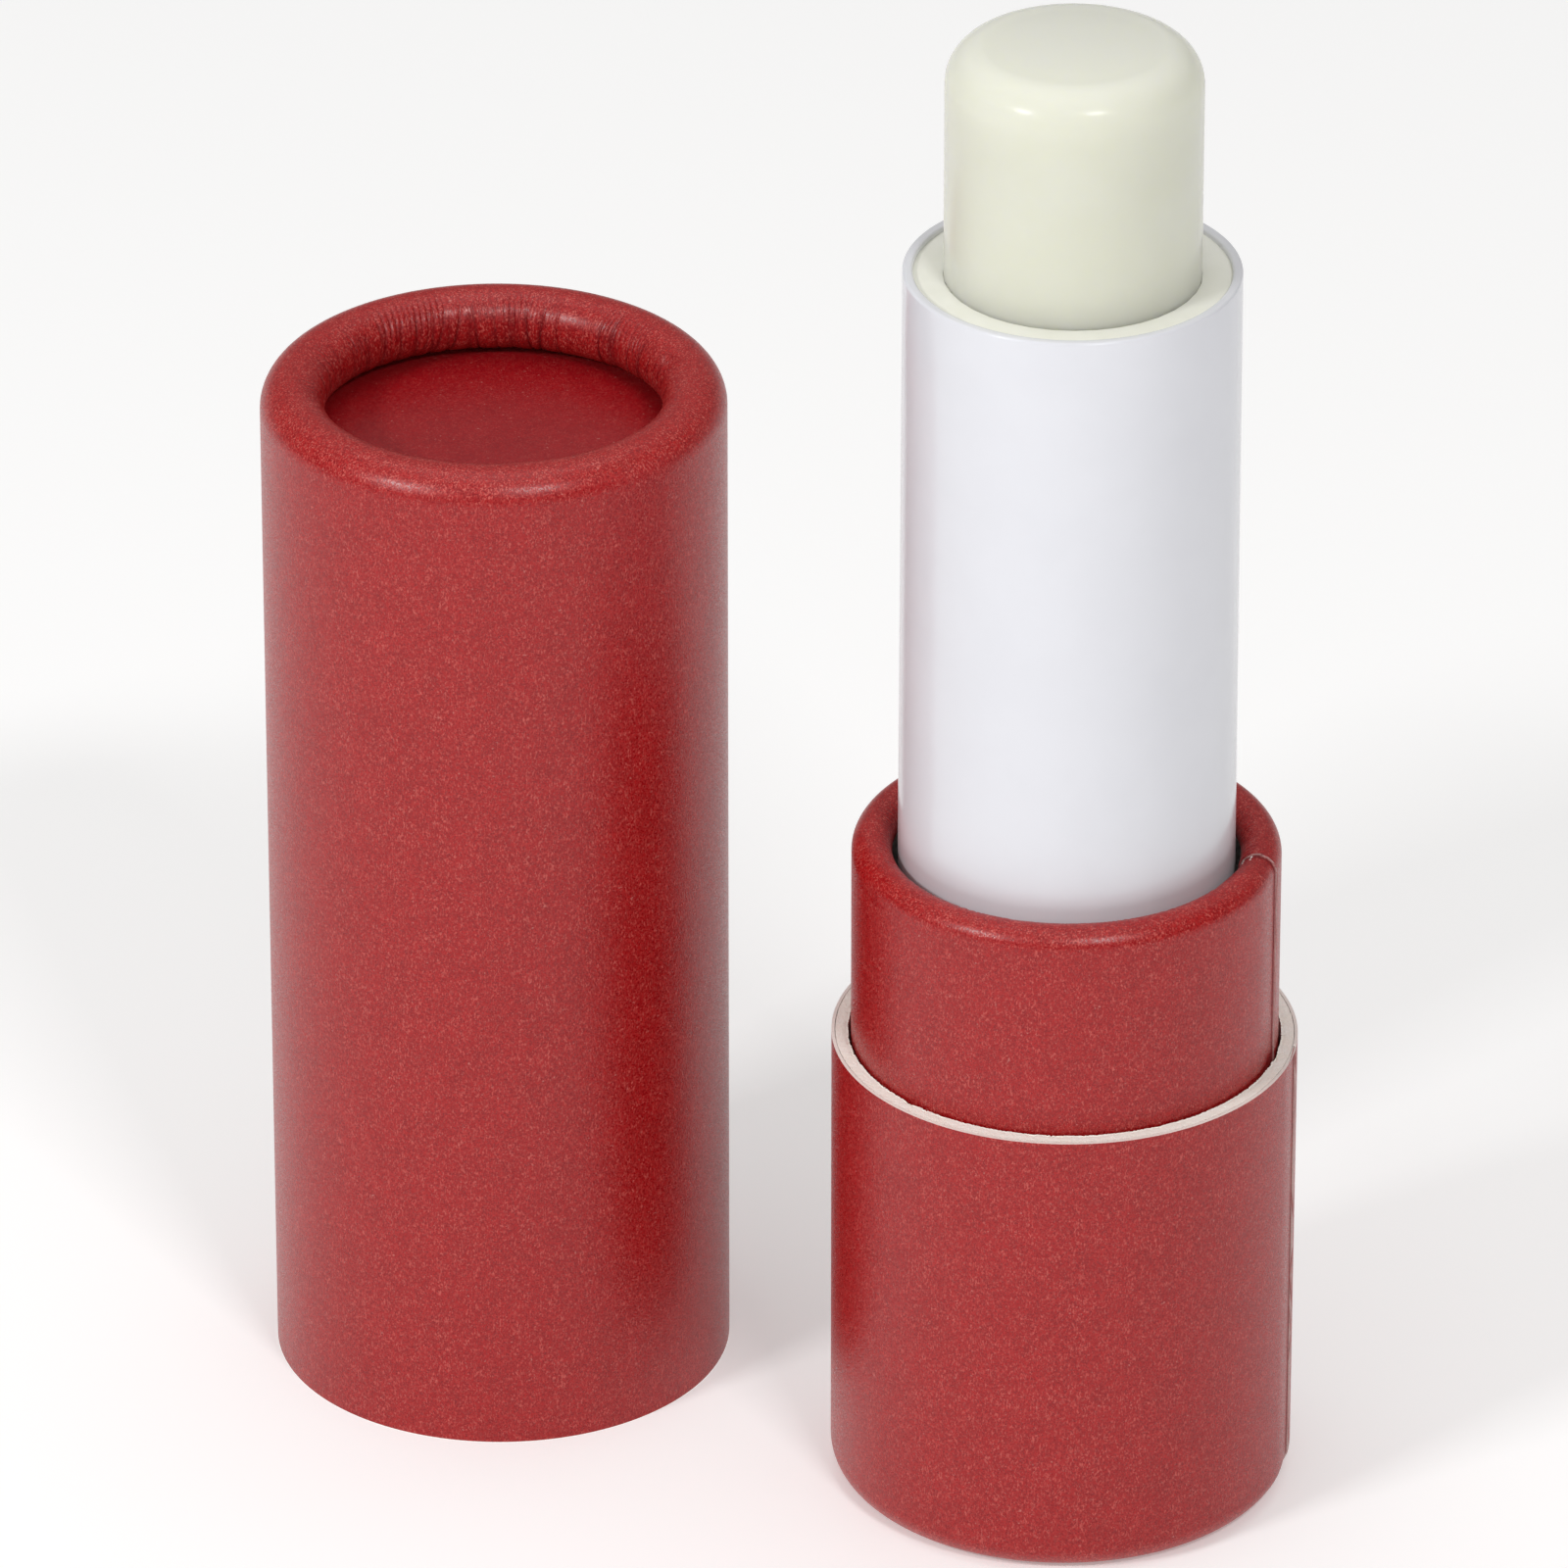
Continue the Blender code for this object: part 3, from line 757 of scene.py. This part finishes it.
def board_tube(name, node, body, curl, length, flipped, seed):
    """The board under the wrap, with a fibrous cut end."""
    _, outside, _, _ = place_of("base_wrap")
    roll_r = outside - curl
    outer = curl - WRAP - GLUE_LINE
    inner = outer - CASE_BOARD
    roll_z = length - curl
    cut = [(roll_r + outer - CASE_BOARD * share, 0.0, 0.0) for share in np.linspace(0, 1, CUT_ROWS)]
    rows = plain(arc(outer, roll_r, roll_z, ROLL_END, 0.0, BOARD_CURL_ROWS))
    rows += [(roll_r + outer, CUT_ZONE, 0.0)] + cut + [(roll_r + inner, CUT_ZONE, 0.0)]
    rows += plain(arc(inner, roll_r, roll_z, 0.0, ROLL_END, INNER_CURL_ROWS))
    bore_end = roll_r + inner + BORE_ZONE
    at_cut = np.array([1.0 if z == 0.0 else 0.0 for _, z, _ in rows])
    at_bore = np.array([1.0 if z == 0.0 and r < bore_end else 0.0 for r, z, _ in rows])
    if flipped:
        rows = upside_down(rows, length)
        at_cut = at_cut[::-1]
        at_bore = at_bore[::-1]
    rng = np.random.default_rng(seed)
    angles = columns(BOARD_AROUND)
    layers = np.stack([waves(rng, angles, *LAYER_WAVES) for _ in rows])
    fray = np.abs(waves(rng, angles, *FRAY_WAVES))
    torn = np.clip(waves(rng, angles, *TEAR_WAVES) - TEAR_START, 0, 1)

    def offset(angles, down, r, z, fold):
        rough = LAYER_DEPTH * np.abs(layers) + FRAY_DEPTH * fray[None, :] * at_bore[:, None]
        return -(rough * at_cut[:, None] + TEAR_DEPTH * torn[None, :] * at_bore[:, None])

    made = turned(name, rows, node, angles, offset)
    return settle(made, board, body, "board", node)


def flat_disc(name, node, body, drop, material, slot):
    """A disc sunk in a rolled rim, very slightly wavy."""
    _, radius, low, high = place_of(node)
    low -= drop
    high -= drop
    shares = np.linspace(0, 1, DISC_ROWS)
    rows = [(radius * share, high, 0.0) for share in shares]
    rows += [(radius * share, low, 0.0) for share in shares[::-1]]

    def offset(angles, down, r, z, fold):
        wave = np.sin(DISC_WAVE_COUNT * angles + DISC_WAVE_PHASE) * np.sin(r / radius * math.pi)
        return DISC_WAVE_DEPTH * wave * np.ones_like(down)

    # The whole disc counts as burnished, with the roll's painted sheen in its grain.
    def polish_and_sheen(angles, down, r, z, fold):
        return 1.0

    made = turned(name, rows, node, columns(TUBE_AROUND), offset, closed=False, marks={"polish_and_sheen": polish_and_sheen})
    return settle(made, material, body, slot, node)


def shell():
    """The white outer tube with its softly rounded rim."""
    _, foot_radius, low, high = place_of("outer_shell")
    _, guide_foot, _, _ = place_of("guide_tube")
    radius = foot_radius - SHELL_WIDENING
    bore = (guide_foot - SHELL_WIDENING) * math.cos(math.pi / GUIDE_SIDES)
    rim = high - RIM_ROUND
    rows = plain(arc(RIM_ROUND, bore + RIM_ROUND, rim, math.pi, math.pi / 2, RIM_ROWS))
    rows += plain(arc(RIM_ROUND, radius - RIM_ROUND, rim, math.pi / 2, 0.0, RIM_ROWS))
    rows += line((radius, rim), (foot_radius, low), SHELL_ROWS)
    rows += [(foot_radius, low, 0.0), (foot_radius - SHELL_WALL, low, 0.0)]
    made = turned("shell_tube", rows, "outer_shell", columns(TUBE_AROUND))
    return settle(made, white, "tube", "white_plastic", "outer_shell")


def balm():
    """The balm, with a soft dome; below, it narrows into the cup and is hollow round the spindle."""
    _, radius, low, high = place_of("balm_bullet")
    radius += BALM_SWELL
    cup_top = low + CUP_DEPTH
    flat_radius = radius - BALM_SHOULDER
    shoulder_z = high - BALM_CROWN - BALM_SHOULDER
    shoulder = plain(arc(BALM_SHOULDER, flat_radius, shoulder_z, math.pi / 2, 0.0, SHOULDER_ROWS))
    shares = np.linspace(0, 1, CROWN_ROWS)[:-1]
    crown = [(flat_radius * share, high - BALM_CROWN * share * share, 0.0) for share in shares]
    in_cup = radius - BALM_SWELL - CUP_WALL - CAST_GAP
    over_boss = low + BOSS_HEIGHT - CUP_FLOOR
    hole_top = high - BALM_ABOVE_HOLE
    rows = crown + shoulder
    rows += line((radius, shoulder[-1][1]), (radius, cup_top), BALM_ROWS)
    rows += [
        (radius, cup_top, 0.0), (in_cup, cup_top, 0.0), (in_cup, low, 0.0),
        (BOSS_RADIUS + CAST_GAP, low, 0.0), (BOSS_RADIUS + CAST_GAP, over_boss, 0.0),
        (BALM_HOLE, over_boss, 0.0), (BALM_HOLE, hole_top, 0.0), (0.0, hole_top, 0.0),
    ]
    made = turned("balm_stick", rows, "balm_bullet", columns(TUBE_AROUND), closed=False)
    return settle(made, wax, "carrier", "balm", "balm_bullet")


# Studio

def area_light(name, towards, width, height, power):
    """A soft box that shines at the object from the direction towards."""
    data = bpy.data.lights.new(name, "AREA")
    data.shape = "RECTANGLE"
    data.size = width
    data.size_y = height
    data.energy = power
    made = bpy.data.objects.new(name, data)
    direction = Vector(towards).normalized()
    made.location = Vector(LIGHT_TARGET) + direction * LIGHT_DISTANCE
    made.rotation_euler = direction.to_track_quat("Z", "Y").to_euler()
    bpy.context.scene.collection.objects.link(made)


def backdrop():
    """A dim room, a pale wall at the back that is brighter higher up, and a broad fill in front."""
    world = bpy.data.worlds.new("studio")
    world.use_nodes = True
    tree = world.node_tree

    def ramp(value, low, high, out_low, out_high):
        node = tree.nodes.new("ShaderNodeMapRange")
        node.interpolation_type = "SMOOTHSTEP"
        tree.links.new(value, node.inputs["Value"])
        numbers = {"From Min": low, "From Max": high, "To Min": out_low, "To Max": out_high}
        for label, number in numbers.items():
            node.inputs[label].default_value = number
        return node.outputs["Result"]

    def add_product(a, b, more):
        node = tree.nodes.new("ShaderNodeMath")
        node.operation = "MULTIPLY_ADD"
        for socket, value in zip(node.inputs, (a, b, more)):
            if isinstance(value, bpy.types.NodeSocket):
                tree.links.new(value, socket)
            else:
                socket.default_value = value
        return node.outputs[0]

    direction = tree.nodes.new("ShaderNodeTexCoord").outputs["Generated"]
    split = tree.nodes.new("ShaderNodeSeparateXYZ")
    tree.links.new(direction, split.inputs[0])
    facing = tree.nodes.new("ShaderNodeVectorMath")
    facing.operation = "DOT_PRODUCT"
    tree.links.new(direction, facing.inputs[0])
    facing.inputs[1].default_value = Vector(FILL_TOWARDS).normalized()
    behind = ramp(split.outputs["Y"], *BACKDROP_START, 0.0, 1.0)
    height = ramp(split.outputs["Z"], *BACKDROP_RISE, *BACKDROP_LIGHT)
    fill = ramp(facing.outputs["Value"], *FILL_REACH, 0.0, FILL_LIGHT)
    total = add_product(fill, 1.0, ROOM_LIGHT)
    total = add_product(behind, height, total)
    background = tree.nodes["Background"]
    background.inputs["Color"].default_value = ROOM_COLOUR
    tree.links.new(total, background.inputs["Strength"])
    return world


def floor():
    """A pale matt floor that glows a little, so that it stays near white in the distance."""
    mesh = bpy.data.meshes.new("floor")
    corners = [(x * FLOOR_REACH, y * FLOOR_REACH, 0) for x, y in ((-1, -1), (1, -1), (1, 1), (-1, 1))]
    mesh.from_pydata(corners, [], [range(len(corners))])
    made = bpy.data.objects.new("floor", mesh)
    made.location.z = -FLOOR_BELOW
    material = bpy.data.materials.new("floor")
    material.use_nodes = True
    inputs = material.node_tree.nodes["Principled BSDF"].inputs
    inputs["Base Color"].default_value = FLOOR_TONE
    inputs["Roughness"].default_value = FLOOR_ROUGHNESS
    inputs["Emission Color"].default_value = (1.0, 1.0, 1.0, 1.0)
    inputs["Emission Strength"].default_value = FLOOR_GLOW
    mesh.materials.append(material)
    bpy.context.scene.collection.objects.link(made)


def studio():
    """The room, the lights and the floor."""
    bpy.context.scene.world = backdrop()
    bpy.context.scene.view_settings.view_transform = "Standard"
    for box in SOFT_BOXES:
        area_light(*box)
    floor()


def camera():
    """A long lens that looks down at the pieces from in front."""
    data = bpy.data.cameras.new("camera")
    data.lens = LENS_MM
    data.sensor_width = SENSOR_MM
    data.clip_start = CLIP_START
    data.clip_end = CLIP_END
    made = bpy.data.objects.new("camera", data)
    up = Vector((0.0, math.sin(CAMERA_PITCH), math.cos(CAMERA_PITCH)))
    back = Vector((0.0, -math.cos(CAMERA_PITCH), math.sin(CAMERA_PITCH)))
    place = Vector((CAMERA_RIGHT, 0.0, TARGET_HEIGHT)) + back * CAMERA_DISTANCE + up * CAMERA_UP
    made.location = place
    made.rotation_euler = (math.pi / 2 - CAMERA_PITCH, 0.0, 0.0)
    bpy.context.scene.collection.objects.link(made)
    bpy.context.scene.camera = made


camera()
studio()

paper = red_paper("red_paper", GRAIN_SHARE, *CRIMSON)
# The discs take a darker paper, as painted shade for the recess.
shaded_disc_paper = red_paper("red_disc_paper_shaded", DISC_GRAIN_SHARE, *DISC_SHADED_CRIMSON)
board = cut_board("board")
white = white_plastic("white_plastic")
natural = natural_plastic("natural_plastic")
wax = balm_wax("balm")

_, _, _, cap_top = place_of("cap_wrap")
_, _, _, base_top = place_of("base_wrap")
_, _, neck_low, neck_top = place_of("neck_wrap")
rolled_paper(
    "cap_paper", "cap_wrap", "cap", CAP_CURL, cap_top, low=0.0, flipped=False, seed=CAP_SEED,
    seam=CAP_SEAM, pale=0.3, on_roll=0.0, around=CAP_AROUND, creases=CAP_CREASES,
    smooth_patches=CAP_SMOOTH_PATCHES
)
rolled_paper(
    "base_paper", "base_wrap", "base", CURL, base_top, low=0.0, flipped=True, seed=BASE_SEED,
    seam=BASE_SEAM, pale=0.7, on_roll=1.0, around=AROUND
)
rolled_paper(
    "neck_paper", "neck_wrap", "base", NECK_CURL, neck_top - neck_low, low=neck_low, flipped=False,
    seed=NECK_SEED, seam=NECK_SEAM, pale=0.4, on_roll=1.0, around=AROUND
)
board_tube("cap_board", "cap_tube", "cap", CAP_CURL, cap_top, flipped=False, seed=CAP_BOARD_SEED)
board_tube("base_board", "base_tube", "base", CURL, base_top, flipped=True, seed=BASE_BOARD_SEED)
flat_disc("cap_disc_paper", "cap_disc_facing", "cap", CAP_DISC_DROP, shaded_disc_paper, "red_paper")
flat_disc("cap_disc_board", "cap_disc", "cap", CAP_DISC_DROP, board, "board")
flat_disc("base_disc_paper", "base_disc_facing", "base", 0.0, shaded_disc_paper, "red_paper")
shell()
balm()

# The pieces that stay as the solids made them
AS_SOLIDS = {
    "base_disc": board, "neck_tube": board, "liner_tube": board,
    "drive_screw": natural, "guide_tube": natural, "elevator": natural,
}
for node, material in AS_SOLIDS.items():
    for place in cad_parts[node].material_slots:
        place.material = material
